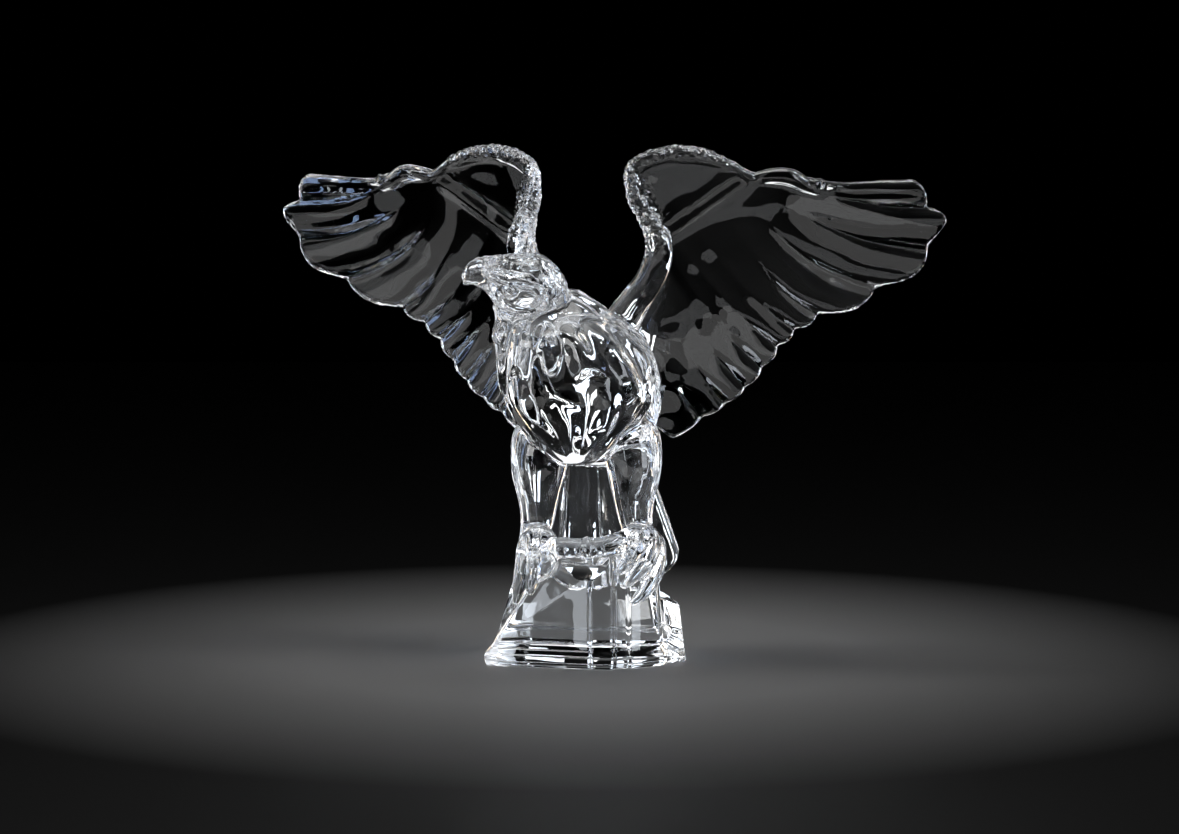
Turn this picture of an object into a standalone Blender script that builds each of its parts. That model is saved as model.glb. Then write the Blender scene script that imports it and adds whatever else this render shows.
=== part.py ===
"""A clear crystal eagle, wings raised, landing on a faceted rock: one cast piece.

Metres, +Z up, origin at the middle of the rock's flat underside, the rock's front towards -Y.
The bird is drawn on a grid of steps above the perch, so that its pose and carving are shares of
its own height. The rock, the walls of the wings and the grooves have sizes of their own.
"""
import math

import bmesh
import bpy
import numpy as np
from mathutils import Matrix, Vector

# Driving dimensions, in metres
BIRD_HEIGHT = 0.187         # from the perch to the top of the wings
WING_SPAN = 0.320           # between the tips of the longest feathers, in the bird's own frame
PERCH_HEIGHT = 0.050        # top of the rock above its underside
BASE_WIDTH = 0.092
BASE_DEPTH = 0.076
BASE_FOOT_HEIGHT = 0.008    # the band below the rock's facets
BASE_FOOT_LEDGE = 0.0016    # how far that band stands out from the facets
RIM_THICKNESS = 0.0080      # rolled leading edge of a wing
RIM_WIDTH = 0.0105          # at the shoulder, less towards the tip
FOREARM_RELIEF = 0.0019     # the ridge from wrist to shoulder
LEAD_FEATHER_RELIEF = 0.0020    # the swell of the foremost feather
BLADE_THICKNESS = 0.0044    # a wing behind its rim
EDGE_THICKNESS = 0.0022     # feather tips
TAIL_THICKNESS = 0.0075
TAIL_EDGE_THICKNESS = 0.0050
GROOVE_DEPTH = 0.0012       # between two feathers, on each face
GROOVE_WIDTH = 0.0036
GROOVE_FLOOR = 0.0020       # glass left at the bottom of a groove
INNER_FEATHERS = 0.5        # how strong the short inner feathers' lines are beside the long ones'
FEATHER_TILT = 0.0022       # how far one feather's edge stands over the next
PLUME_RELIEF = 0.0030       # how far the breast and neck feathers' tips stand out
FACET_ROUNDING = 0.0008     # on the rock's edges
BIRD_TURN = math.radians(13.5)   # the bird looks this far to its right of the rock's front
HEAD_TURN = math.radians(76.5)   # and its head this much further

# How finely the cast surface is made
MELT_SIZE = 0.0009          # the smallest detail that the glass keeps
MELT_PASSES = 3
FACET_COUNT = 7400

# The bird's grid: its height is this many steps, counted from the perch
GRID_STEPS = 187.0
STEP = BIRD_HEIGHT / GRID_STEPS
WING_REACH = 160.0          # steps from the bird's middle to the longest feather's tip
WIDEN = WING_SPAN / (2 * WING_REACH * STEP)

GLASS_COLOUR = (0.93, 0.95, 0.97, 1.0)

# The rolled rim of the bird's left wing, from the shoulder up round the wrist to the first feather
RIM = [
    (4, 20, 96), (12, 14, 112), (19, 11, 121), (24, 8, 131), (27, 4, 140), (27.5, 0, 148.5),
    (25.5, -4, 158), (22, -8, 166), (20.5, -11, 173), (22.5, -12, 179), (30, -10, 184),
    (42, -6, 186.5), (55, -1, 185), (66.5, 4, 180), (75, 9, 174.5), (85, 13, 173.5),
    (92.5, 15, 175.5), (96.5, 17, 171), (101, 20, 168.5),
]
# One row for each line between two feathers: its start along the rim, its bend and its notch
WING_LINES = [
    (0.0, (12, 24, 60), (35, 26, 50.5)),
    (1.5, (24, 28, 92), (48, 31, 60)),
    (3.0, (32, 30, 98), (58, 35, 66)),
    (4.5, (39, 32, 103), (67, 38, 74)),
    (6.2, (46, 33, 109), (74, 40, 83)),
    (8.0, (53, 33, 114), (81, 42, 93)),
    (10.0, (60, 32, 119), (89, 43, 101)),
    (12.0, (68, 31, 124), (100, 43, 108)),
    (13.6, (78, 30, 133), (127, 42, 120.5)),
    (15.0, (92, 29, 145), (151, 42.5, 139.5)),
    (16.7, (108, 29, 158), (150, 42, 158)),
    (18.0, (124, 31, 169.5), (144, 39, 171)),
]
FOREARM = [(76.0, 172.0), (31.0, 141.0)]    # across and up, at the wrist and at the shoulder
# The thick upper arm, from the body to the bend of the rim: points and half thicknesses
ARM = [
    (8, 19, 98, 9), (15, 16, 108, 8), (21, 13, 116, 7), (27, 10, 124, 6.4), (32, 7, 133, 6.2),
    (34, 4, 141, 5.2), (32, 1, 149, 3.8), (29, -2, 156, 2.6),
]
THUMB = [
    (77, 11, 172, 2.6), (85, 12.5, 172.8, 3.6), (92, 15, 172, 4.0), (98, 18.5, 168.5, 3.2), (104, 22, 165, 1.6),
]
# How far each feather's tip stands out past its two notches, and where along it
WING_TIPS = [
    (2.0, 0.5), (1.6, 0.5), (1.8, 0.5), (2.0, 0.5), (2.2, 0.5), (2.2, 0.5),
    (2.6, 0.5), (5.2, 0.55), (6.5, 0.6), (9.3, 0.66), (3.0, 0.5),
]
TAIL_ROOT = [(-20, 20, 52), (-13, 20, 54), (0, 20, 55), (13, 20, 54), (20, 20, 52)]
TAIL_LINES = [
    (0.0, (-27, 30, 27), (-36, 36, -3)),
    (1.0, (-16.5, 31, 25), (-21, 36, -17)),
    (2.0, (0, 32, 20), (0, 36, -23)),
    (3.0, (16.5, 31, 25), (21, 36, -17)),
    (4.0, (27, 30, 27), (36, 36, -3)),
]
TAIL_TIPS = [(4.0, 0.5), (4.0, 0.5), (4.0, 0.5), (4.0, 0.5)]

# Breast and neck: height, middle across and along, half width, half depth
BREAST = [
    (40.3, -3, -9, 4, 4), (41.6, -3, -9, 9, 8.5), (44.5, -3, -9, 13.5, 13), (48.5, -3, -9, 17.5, 17.5),
    (54, -3, -9, 21.5, 22), (62, -2.5, -9, 27.5, 26.5), (72, -2, -9, 33, 30), (84, -3, -9, 35, 29.5),
    (94, -6, -10, 33.5, 27), (101, -10, -11.5, 30, 23), (106, -13, -12.5, 26.5, 17.5),
    (110, -15.5, -13.5, 24.5, 12.8), (114, -18, -14.5, 22.5, 9), (119, -20, -15.5, 16, 6),
    (123, -21, -16, 8, 3),
]
# Back and rump: middle, half width, half depth
BACK = [
    (-9, -9, 121, 8, 6.5), (-6.5, -5.5, 113, 16, 12.5), (-3, 2, 104, 22, 17), (0, 8, 92, 27, 20),
    (0, 12, 76, 30, 20), (0, 16, 62, 29, 17), (0, 20, 52, 24, 12), (0, 23, 42, 15, 8), (0, 24, 37, 9, 5),
]
# Legs and feet are drawn on the rock's grid, which is this many steps wide and deep.
# A thigh and shank, for the bird's left: middle, half width, half depth
ROCK_GRID = (92.0, 76.0)
LEG = [
    (14, 4, 72, 8, 9), (17, 2, 64, 11, 13), (20, 0, 54, 13.5, 15), (21.5, -3, 44, 13.5, 15),
    (22, -5, 34, 12, 13), (22, -6, 24, 9.5, 10), (22.5, -7, 15, 7.8, 8), (24, -8, 8, 7, 7.5),
    (25, -9, 0, 6.5, 7),
]
# Toes as points and half thicknesses
LEFT_TOES = [
    [(25, -11, 9, 6), (19, -22, 7.5, 5.4), (10, -28, 6, 4.6), (4, -29.3, 5, 4.7),
     (0.5, -29.6, 4.6, 5.9), (-3, -29.6, 4.6, 4.7), (-10, -29.5, 4.8, 5.2), (-16, -29, 4.6, 4.2)],
    [(26, -13, 8, 5.5), (24, -26, 7, 5.0), (19.5, -33, 1.5, 4.2), (15.5, -35.5, -4, 2.8),
     (13.5, -35.5, -7, 1.4)],
    [(27, -12, 8, 5.5), (28, -24, 5, 5.2), (25.5, -31.5, -2, 4.4), (20.5, -35.5, -8.5, 3.1),
     (17, -36, -12, 1.4)],
    [(28, -8, 7, 5.5), (31.5, -18, 3, 5.2), (31, -27, -6, 4.7), (26, -32.5, -15, 3.5),
     (20, -35, -20.5, 1.5)],
    [(28, -4, 6, 5.5), (28, 6, 5, 4.6), (28, 15, 1, 4.0), (28, 22, -6, 3.0), (28, 26, -12, 1.3)],
]
RIGHT_TOES = [
    [(-22, -12, 8, 6), (-18, -23, 7, 4.8), (-16.5, -29, 2, 4.2), (-18.5, -31, -5, 3.2),
     (-21.5, -31, -10, 1.4)],
    [(-23, -12, 8, 6), (-23, -22, 6, 5.0), (-23, -27.5, -1, 4.5), (-24.5, -28.5, -10, 3.3),
     (-26, -28.5, -17, 1.4)],
    [(-24, -9, 7, 6), (-27, -16, 3, 5.0), (-28.5, -20, -5, 4.3), (-30.5, -22, -14, 3.2),
     (-32.5, -23, -22, 1.4)],
    [(-25, -4, 6, 5.5), (-27, 6, 5, 4.6), (-27.5, 15, 1, 4.0), (-28, 22, -6, 3.0), (-27.5, 26, -12, 1.3)],
]
# Head along its own axis, from the nape to the tip of the beak:
# distance, height of the middle, half width, half height
HEAD_BACK = (-8.0, -16.0, 113.0)
HEAD = [
    (-3, 5, 6, 7), (1, 7.5, 9, 10.5), (6, 9.8, 11.6, 12.8), (12, 11.0, 13.4, 13.8), (19, 11.3, 13.2, 13.6),
    (25, 11.6, 11.4, 12.8), (29.5, 12.4, 8.8, 11.6), (32.5, 14.2, 6.6, 9.6), (35.5, 15.8, 5.4, 7.6),
    (39, 16.2, 4.8, 6.2), (42.5, 15.2, 4.0, 4.8), (44.5, 13.2, 2.8, 3.0),
]
BEAK_HOOK = [(35, 16, 4.5), (39.5, 15.6, 4.2), (42.3, 14.0, 3.3), (43.2, 12.2, 1.9)]
# Brow: distance, how far out, height and half thickness; the eye the same
BROW = [
    (7.5, 11.4, 9.5, 1.6), (14, 12.7, 12.6, 2.4), (21, 12.3, 14.0, 2.8), (28, 9.4, 15.2, 2.5),
    (34, 5.4, 17.4, 1.6),
]
EYE = (23.0, 10.3, 8.8, 2.9)
# The flat window of the cheek: distance, height, half length, half height and how far out it lies
CHEEK = (18.3, 5.2, 8.6, 5.9, 9.6)
HEAD_SQUARE = 0.78          # below 1 the head's section is squarer than an oval

# Rows of plumes: how many round the body, how long, and how far down the first row starts
BREAST_PLUMES = (12, 26.0)
BACK_PLUMES = (12, 20.0)

# The rock's facets: the foot of each edge and its top, on the rock's grid from its middle
ROCK_EDGES = [
    ((-45.3, -26.5), (-15.8, -25.5)), ((1.0, -36.4), (0.8, -29.6)), ((2.6, -38.6), (2.4, -31.2)),
    ((11.6, -38.2), (11.4, -31.2)), ((13.2, -35.8), (13.0, -29.2)), ((18.4, -34.6), (18.2, -28.0)),
    ((20.2, -35.6), (19.8, -28.8)), ((34.2, -27.0), (30.8, -22.6)), ((35.6, -23.6), (32.0, -19.6)),
    ((37.0, 12.0), (31.5, 8.0)), ((32.5, 25.0), (25.0, 19.0)), ((18.0, 34.5), (16.0, 26.0)),
    ((0.0, 37.5), (-3.0, 32.0)), ((-17.0, 36.0), (-14.0, 26.5)), ((-32.0, 29.0), (-25.0, 23.0)),
    ((-42.0, 12.0), (-30.0, 6.0)),
]
# Blocks fused to it, each as a lower and an upper outline of points
LUMP = [
    [(34, -24, 0), (45.8, -12.5, 0), (45.8, 4, 0), (36, 14, 0), (24, -6, 0)],
    [(33, -20.5, 31), (42.8, -11, 25), (42.8, 3, 25), (35, 11, 29), (24, -6, 33)],
]
WEDGE = [
    [(-4.3, -33.5, 40), (3.4, -33.8, 40), (3.4, -24, 42), (-4.3, -24, 42)],
    [(-12.0, -33.0, 47.5), (10.5, -34.5, 46.5), (10.5, -22, 49), (-12.0, -22, 49)],
]
ROCK_STEPS = 50.0           # the rock's height on the same grid


def catmull(points, at):
    """A smooth curve through the points, at a parameter counted in points."""
    points = np.asarray(points, float)
    at = np.clip(np.asarray(at, float), 0, len(points) - 1)
    i = np.minimum(at.astype(int), len(points) - 2)
    f = (at - i)[..., None]
    ends = np.vstack([2 * points[0] - points[1], points, 2 * points[-1] - points[-2]])
    p0, p1, p2, p3 = (ends[i + k] for k in range(4))
    return 0.5 * (2 * p1 + (p2 - p0) * f + (2 * p0 - 5 * p1 + 4 * p2 - p3) * f**2
                  + (3 * p1 - p0 - 3 * p2 + p3) * f**3)


def smoothstep(low, high, x):
    t = np.clip((x - low) / (high - low), 0, 1)
    return t * t * (3 - 2 * t)


def mesh_object(name, rings):
    """A closed body from rings of points that all have the same count."""
    bm = bmesh.new()
    made = [[bm.verts.new(p) for p in ring] for ring in rings]
    count = len(made[0])
    for low, high in zip(made, made[1:]):
        for k in range(count):
            n = (k + 1) % count
            bm.faces.new((low[k], low[n], high[n], high[k]))
    bm.faces.new(made[0][::-1])
    bm.faces.new(made[-1])
    bmesh.ops.recalc_face_normals(bm, faces=bm.faces)
    mesh = bpy.data.meshes.new(name)
    bm.to_mesh(mesh)
    bm.free()
    return bpy.data.objects.new(name, mesh)


def plumes(angle, height, rows):
    """Columns of long overlapping plumes down a body: how far each stands out, at most 1."""
    count, length = rows
    flow = count * angle / (2 * math.pi) + 0.3 * np.sin(height / 11 + np.sin(2 * angle))
    column = np.floor(flow + 0.5)
    swell = 0.5 + 0.5 * np.cos(2 * math.pi * flow)
    down = (height / length + 0.5 * (column % 2) - 0.25 * swell) % 1
    tip = (1 - down) * smoothstep(0, 0.12, down)
    return swell**0.8 * (0.35 + 0.65 * tip)


def ovals(name, sections, place, sides=32, rows=None):
    """A body lofted through level ovals: middle x, y, z, half width, half depth."""
    sections = sorted(sections, key=lambda row: row[2])
    steps = np.linspace(0, len(sections) - 1, 8 * len(sections))
    angles = np.linspace(0, 2 * math.pi, sides, endpoint=False)
    rings = []
    for x, y, z, wide, deep in catmull(sections, steps):
        relief = 0 * angles
        if rows:
            fade = float(smoothstep(42, 60, z) * (1 - smoothstep(101, 109, z))) * PLUME_RELIEF / STEP
            relief = plumes(angles, z, rows) * fade
        rings.append([place((x + (wide + r) * math.cos(a), y + (deep + r) * math.sin(a), z))
                      for a, r in zip(angles, relief)])
    return mesh_object(name, rings)


def tube(name, points, place, sides=14):
    """A tapered round bar through points, each with its half thickness."""
    path = catmull(points, np.linspace(0, len(points) - 1, 7 * len(points)))
    along = np.gradient(path[:, :3], axis=0)
    along /= np.linalg.norm(along, axis=1)[:, None]
    side = np.cross(along, (0.31, 0.12, 0.94))
    side /= np.linalg.norm(side, axis=1)[:, None]
    up = np.cross(side, along)
    rings = []
    for p, s, u in zip(path, side, up):
        angles = np.linspace(0, 2 * math.pi, sides, endpoint=False)
        rings.append([place(p[:3] + p[3] * (math.cos(a) * s + math.sin(a) * u)) for a in angles])
    return mesh_object(name, rings)


def feather_blade(name, rim, lines, tips, place, profile, per_feather=14, along=56):
    """A wing or tail: lines fan out from the rim, and each strip between two lines is a feather.

    profile gives how far the front and the back face lie from the middle surface.
    """
    count = len(tips)
    station = np.concatenate([i + np.linspace(0, 1, per_feather, endpoint=False) for i in range(count)])
    station = np.append(station, count)
    starts = np.interp(station, range(count + 1), [row[0] for row in lines])
    s = np.linspace(0, 1, along)[None, :, None] ** 1.15
    rim_at = catmull(rim, starts)[:, None]
    bend = catmull([row[1] for row in lines], station)[:, None]
    notches = np.array([row[2] for row in lines], float)
    smooth_edge = catmull(notches, station)[:, None]

    i = np.minimum(station.astype(int), count - 1)
    u = station - i
    straight = notches[i] + (notches[i + 1] - notches[i]) * u[:, None]
    reach = np.array([t[0] for t in tips])[i]
    skew = np.array([math.log(0.5) / math.log(t[1]) for t in tips])[i]
    bulge = reach * np.sin(math.pi * np.clip(u, 0, 1) ** skew) ** 0.75
    chord = notches[i + 1] - notches[i]
    outward = smooth_edge[:, 0] - bend[:, 0]
    chord /= np.linalg.norm(chord, axis=1)[:, None]
    outward -= (outward * chord).sum(1)[:, None] * chord
    outward /= np.linalg.norm(outward, axis=1)[:, None]
    edge = (straight + outward * bulge[:, None])[:, None]

    def surface(last):
        return (1 - s) ** 2 * rim_at + 2 * s * (1 - s) * bend + s**2 * last

    middle, calm = surface(edge), surface(smooth_edge)
    normal = np.cross(np.gradient(calm, axis=1), np.gradient(calm, axis=0))
    normal /= np.maximum(np.linalg.norm(normal, axis=2), 1e-9)[..., None]
    from_rim = np.linalg.norm(middle - rim_at, axis=2)
    ahead = np.gradient(calm, station, axis=0)
    width = np.linalg.norm(ahead, axis=2)
    share = station[:, None] / count + 0 * from_rim
    across = np.minimum(u, 1 - u)[:, None] * width
    inner = ((station > 0.5) & (station < count - 0.5))[:, None]
    front, back = profile(share, s[..., 0] + 0 * from_rim, from_rim, u[:, None] + 0 * from_rim,
                          np.where(inner, across, 99.0), middle)
    outer_edge = np.minimum(1, np.sqrt(np.clip((count - station) * 5 + 0.12, 0, 1)))[:, None]
    front_face = middle + normal * (front * outer_edge)[..., None]
    back_face = middle - normal * (back * outer_edge)[..., None]
    rings = [[place(p) for p in f] + [place(p) for p in b[::-1]] for f, b in zip(front_face, back_face)]
    return mesh_object(name, rings)


def groove(across, s, start):
    """Depth and tilt of the feather lines, both deepest at the tips, in steps."""
    deep = smoothstep(start, 1.0, s)
    wide = GROOVE_WIDTH / STEP * (0.35 + 0.65 * deep) / 2
    return GROOVE_DEPTH / STEP * deep * np.exp(-(across / wide) ** 2), deep


def forearm(points):
    """The ridge that runs from the wrist's notch down to the shoulder, on a wing's grid: 0 to 1."""
    wrist, shoulder = FOREARM
    run = np.subtract(shoulder, wrist)
    along = ((points[..., [0, 2]] - wrist) @ run) / (run @ run)
    off = points[..., [0, 2]] - wrist - along[..., None] * run
    side = off @ np.array((run[1], -run[0])) / math.hypot(*run)
    ends = smoothstep(-0.05, 0.1, along) * (1 - smoothstep(0.8, 1.05, along))
    return ends * np.exp(-(side / 3.2) ** 2) - 0.45 * ends * np.exp(-((side - 8) / 5) ** 2)


def wing_profile(share, s, from_rim, u, across, middle):
    roll = RIM_THICKNESS / STEP / 2 * (1.35 - 0.75 * smoothstep(0, 0.9, share))
    bead = np.sqrt(np.clip(roll**2 - np.clip(roll - from_rim, 0, None) ** 2, 0.02, None))
    blade = (BLADE_THICKNESS + (EDGE_THICKNESS - BLADE_THICKNESS) * s) / STEP / 2
    wide = RIM_WIDTH / STEP * (1 - 0.35 * smoothstep(0.3, 0.55, share) - 0.3 * smoothstep(0.6, 0.75, share))
    lip = smoothstep(0, 1.5, from_rim - wide)
    ramp = smoothstep(0, 18, from_rim - wide)
    long = smoothstep(0.52, 0.72, share)
    deep, fade = groove(across, s, 0.62 - 0.37 * long)
    strength = INNER_FEATHERS + (1 - INNER_FEATHERS) * long
    deep, fade = deep * strength, fade * strength
    tilt = FEATHER_TILT / STEP * (u - 0.5) * fade
    belly = 0.6 * FEATHER_TILT / STEP * np.sin(math.pi * u) * fade
    lead = smoothstep(WING_LINES[-2][0], WING_LINES[-2][0] + 0.8, share * WING_LINES[-1][0])
    belly = belly + LEAD_FEATHER_RELIEF / STEP * lead * np.sin(math.pi * np.clip(from_rim / 15, 0, 1)) * (1 - s)
    front = bead * (1 - lip) + blade * lip * 0.7 - deep + tilt + belly
    front = front + FOREARM_RELIEF / STEP * forearm(middle)
    back = bead * (1 - ramp) + blade * ramp * 1.3 - deep - tilt + belly
    least = GROOVE_FLOOR / STEP / 2
    return np.maximum(front, least), np.maximum(back, least)


def tail_profile(share, s, from_rim, u, across, middle):
    half = (TAIL_THICKNESS + (TAIL_EDGE_THICKNESS - TAIL_THICKNESS) * s) / STEP / 2
    deep, fade = groove(across, s, -0.6)
    ridge = 0.8 * np.clip(np.sin(math.pi * u), 0, 1) ** 0.6
    return half - 1.6 * deep + ridge, half - 1.6 * deep + ridge


def turned(angle):
    return Matrix.Rotation(angle, 4, "Z")


def bird_place(side=1):
    """Takes a grid point of the bird's left half to metres, or mirrors it to the right half."""
    turn = turned(-BIRD_TURN)

    def place(p):
        return turn @ (Vector((side * p[0], p[1], p[2])) * STEP) + Vector((0, 0, PERCH_HEIGHT))
    return place


def wing_place(side):
    turn = turned(-BIRD_TURN)

    def place(p):
        return turn @ (Vector((side * p[0] * WIDEN, p[1], p[2])) * STEP) + Vector((0, 0, PERCH_HEIGHT))
    return place


def head_place():
    """Takes a point of the head, along its axis from nape to beak, to metres."""
    turn = turned(-BIRD_TURN - HEAD_TURN)
    nape = bird_place()(HEAD_BACK)

    def place(p):
        return nape + turn @ (Vector((p[1], -p[0], p[2])) * STEP)
    return place


def head_parts():
    place = head_place()
    steps = np.linspace(0, len(HEAD) - 1, 7 * len(HEAD))
    angles = np.linspace(0, 2 * math.pi, 64, endpoint=False)
    rings = []
    for far, height, wide, tall in catmull(HEAD, steps):
        out = wide * np.sign(np.cos(angles)) * np.abs(np.cos(angles)) ** HEAD_SQUARE
        up = height + tall * np.sign(np.sin(angles)) * np.abs(np.sin(angles)) ** HEAD_SQUARE
        window = np.hypot((far - CHEEK[0]) / CHEEK[2], (up - CHEEK[1]) / CHEEK[3])
        flat = np.clip(out, -CHEEK[4], CHEEK[4])
        out = flat + (out - flat) * smoothstep(0.9, 1.1, window)
        rings.append([place((far, o, u)) for o, u in zip(out, up)])
    parts = [mesh_object("skull", rings)]
    parts.append(tube("hook", [(f, 0, h, r) for f, h, r in BEAK_HOOK], place))
    for side in (-1, 1):
        parts.append(tube("brow", [(f, side * w, h, r) for f, w, h, r in BROW], place))
        far, out, height, radius = EYE
        bulb = [(far, side * (out + k), height, math.sqrt(max(radius**2 - k**2, 0.01)))
                for k in np.linspace(-radius, radius, 7)]
        parts.append(tube("eye", bulb, place))
    return parts


def rock_place(p, out=0.0):
    """Takes a point of the rock's grid to metres, moved outwards by out."""
    x, y = p[0] / ROCK_GRID[0] * BASE_WIDTH, p[1] / ROCK_GRID[1] * BASE_DEPTH
    far = max(math.hypot(x, y), 1e-6)
    return (x * (1 + out / far), y * (1 + out / far), p[2] / ROCK_STEPS * PERCH_HEIGHT)


def perch_place(side=1):
    """Takes a point of a leg or toe to metres: on the rock's grid, and in steps above the perch."""

    def place(p):
        x, y, _ = rock_place((side * p[0], p[1], 0))
        return Vector((x, y, PERCH_HEIGHT + p[2] * STEP))
    return place


def rock_parts():
    """The rock's blocks, with rounded edges."""

    def ring(f, height, out=0.0):
        points = [tuple(a + (b - a) * f for a, b in zip(*edge)) for edge in ROCK_EDGES]
        return [rock_place((x, y, height), out) for x, y in points]

    band = BASE_FOOT_HEIGHT / PERCH_HEIGHT * ROCK_STEPS
    rings = [ring(0, 0, BASE_FOOT_LEDGE * 0.2), ring(0, band * 0.3, BASE_FOOT_LEDGE),
             ring(0, band * 0.7, BASE_FOOT_LEDGE), ring(0.05, band), ring(0.1, band * 1.3),
             ring(0.92, ROCK_STEPS * 0.93), ring(1.0, ROCK_STEPS * 1.02, -0.0012)]
    blocks = [mesh_object("rock", rings)]
    for name, outlines in (("lump", LUMP), ("wedge", WEDGE)):
        blocks.append(mesh_object(name, [[rock_place(p) for p in outline] for outline in outlines]))
    for block in blocks:
        edges = block.modifiers.new("rounding", "BEVEL")
        edges.width = FACET_ROUNDING
        edges.segments = 2
        edges.limit_method = "ANGLE"
        edges.angle_limit = math.radians(12)
    return blocks


def bird_parts():
    breast = [(x, y, z, w, d) for z, x, y, w, d in BREAST]
    parts = [ovals("breast", breast, bird_place(), 96, BREAST_PLUMES)]
    parts.append(ovals("back", BACK, bird_place(), 96, BACK_PLUMES))
    parts.append(feather_blade("tail", TAIL_ROOT, TAIL_LINES, TAIL_TIPS, bird_place(), tail_profile))
    for side in (-1, 1):
        parts.append(feather_blade("wing", RIM, WING_LINES, WING_TIPS, wing_place(side), wing_profile))
        parts.append(tube("thumb", THUMB, wing_place(side)))
        parts.append(tube("arm", ARM, wing_place(side), 24))
        parts.append(ovals("leg", LEG, perch_place(side), 24))
    parts += [tube("toe", toe, perch_place()) for toe in LEFT_TOES + RIGHT_TOES]
    return parts + head_parts()


def join(name, parts):
    """All the parts in one mesh, still overlapping."""
    bm = bmesh.new()
    for part in parts:
        bm.from_mesh(part.data)
        mesh = part.data
        bpy.data.objects.remove(part)
        bpy.data.meshes.remove(mesh)
    bmesh.ops.recalc_face_normals(bm, faces=bm.faces)
    mesh = bpy.data.meshes.new(name)
    bm.to_mesh(mesh)
    bm.free()
    return bpy.data.objects.new(name, mesh)


def cast(thing):
    """Melts the overlapping parts into one body and brings it down to its facets."""
    melt = thing.modifiers.new("melt", "REMESH")
    melt.mode = "VOXEL"
    melt.voxel_size = MELT_SIZE
    melt.use_smooth_shade = True
    polish = thing.modifiers.new("polish", "SMOOTH")
    polish.factor = 0.5
    polish.iterations = MELT_PASSES
    bpy.context.view_layer.update()
    seen = thing.evaluated_get(bpy.context.evaluated_depsgraph_get())
    triangles = sum(len(p.vertices) - 2 for p in seen.data.polygons)
    facet = thing.modifiers.new("facet", "DECIMATE")
    facet.ratio = min(1.0, FACET_COUNT / triangles)
    return triangles


def fuse(thing, blocks, cutters):
    """Casts the blocks of the rock in one with the bird."""
    for block in blocks:
        block.hide_render = True
        block.display_type = "WIRE"
        cutters.objects.link(block)
        union = thing.modifiers.new("fuse_" + block.name, "BOOLEAN")
        union.operation = "UNION"
        union.solver = "EXACT"
        union.object = block


def crystal():
    material = bpy.data.materials.new("clear_crystal")
    material.use_nodes = True
    shader = material.node_tree.nodes["Principled BSDF"]
    shader.inputs["Base Color"].default_value = GLASS_COLOUR
    shader.inputs["Roughness"].default_value = 0.02
    shader.inputs["IOR"].default_value = 1.545
    shader.inputs["Transmission Weight"].default_value = 1.0
    return material


def main():
    for old in list(bpy.data.objects):
        bpy.data.objects.remove(old)
    pieces = bpy.data.collections.new("crystal eagle figurine")
    cutters = bpy.data.collections.new("cutters")
    for collection in (pieces, cutters):
        bpy.context.scene.collection.children.link(collection)
    eagle = join("crystal_eagle", bird_parts())
    pieces.objects.link(eagle)
    eagle.data.materials.append(crystal())
    cast(eagle)
    fuse(eagle, rock_parts(), cutters)


main()
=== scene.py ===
"""The dressed crystal eagle: finely carved clear crystal, its light and its camera."""
import math

import bmesh
import bpy
import numpy as np
from mathutils import Matrix, Vector, noise

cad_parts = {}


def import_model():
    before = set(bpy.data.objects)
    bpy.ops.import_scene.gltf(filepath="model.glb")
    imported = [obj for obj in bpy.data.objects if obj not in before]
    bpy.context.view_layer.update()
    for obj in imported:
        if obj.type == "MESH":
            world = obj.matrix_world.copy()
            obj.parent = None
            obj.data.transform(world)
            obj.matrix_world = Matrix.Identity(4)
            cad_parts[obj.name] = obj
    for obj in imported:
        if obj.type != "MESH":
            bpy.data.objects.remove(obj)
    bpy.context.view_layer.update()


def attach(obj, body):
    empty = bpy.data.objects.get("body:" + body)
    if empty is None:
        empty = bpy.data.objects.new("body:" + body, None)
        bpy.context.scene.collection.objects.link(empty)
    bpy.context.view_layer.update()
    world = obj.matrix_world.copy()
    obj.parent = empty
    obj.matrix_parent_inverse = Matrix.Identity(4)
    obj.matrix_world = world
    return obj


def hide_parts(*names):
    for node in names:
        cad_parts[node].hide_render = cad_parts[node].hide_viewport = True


# Driving dimensions, in metres
BIRD_HEIGHT = 0.187         # from the perch to the top of the wings
WING_SPAN = 0.320           # between the tips of the longest feathers, in the bird's own frame
PERCH_HEIGHT = 0.050        # top of the rock above its underside
BASE_WIDTH = 0.092
BASE_DEPTH = 0.076
BASE_FOOT_HEIGHT = 0.008    # the band below the rock's facets
BASE_FOOT_LEDGE = 0.0016    # how far that band stands out from the facets
RIM_THICKNESS = 0.0080      # rolled leading edge of a wing
RIM_WIDTH = 0.0105          # at the shoulder, less towards the tip
FOREARM_RELIEF = 0.0019     # the ridge from wrist to shoulder
LEAD_FEATHER_RELIEF = 0.0020    # the swell of the foremost feather
BLADE_THICKNESS = 0.0044    # a wing behind its rim
EDGE_THICKNESS = 0.0022     # feather tips
TAIL_THICKNESS = 0.0075
TAIL_EDGE_THICKNESS = 0.0050
GROOVE_DEPTH = 0.0012       # between two feathers, on each face
GROOVE_WIDTH = 0.0036
GROOVE_FLOOR = 0.0020       # glass left at the bottom of a groove
INNER_FEATHERS = 0.5        # how strong the short inner feathers' lines are beside the long ones'
FEATHER_TILT = 0.0022       # how far one feather's edge stands over the next
PLUME_RELIEF = 0.0030       # how far the breast and neck feathers' tips stand out
FACET_ROUNDING = 0.0008     # on the rock's edges
BIRD_TURN = math.radians(13.5)   # the bird looks this far to its right of the rock's front
HEAD_TURN = math.radians(76.5)   # and its head this much further

# How finely the cast surface is made
MELT_SIZE = 0.0008          # the smallest detail that the glass keeps
MELT_PASSES = 3
FACET_COUNT = 165000

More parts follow.
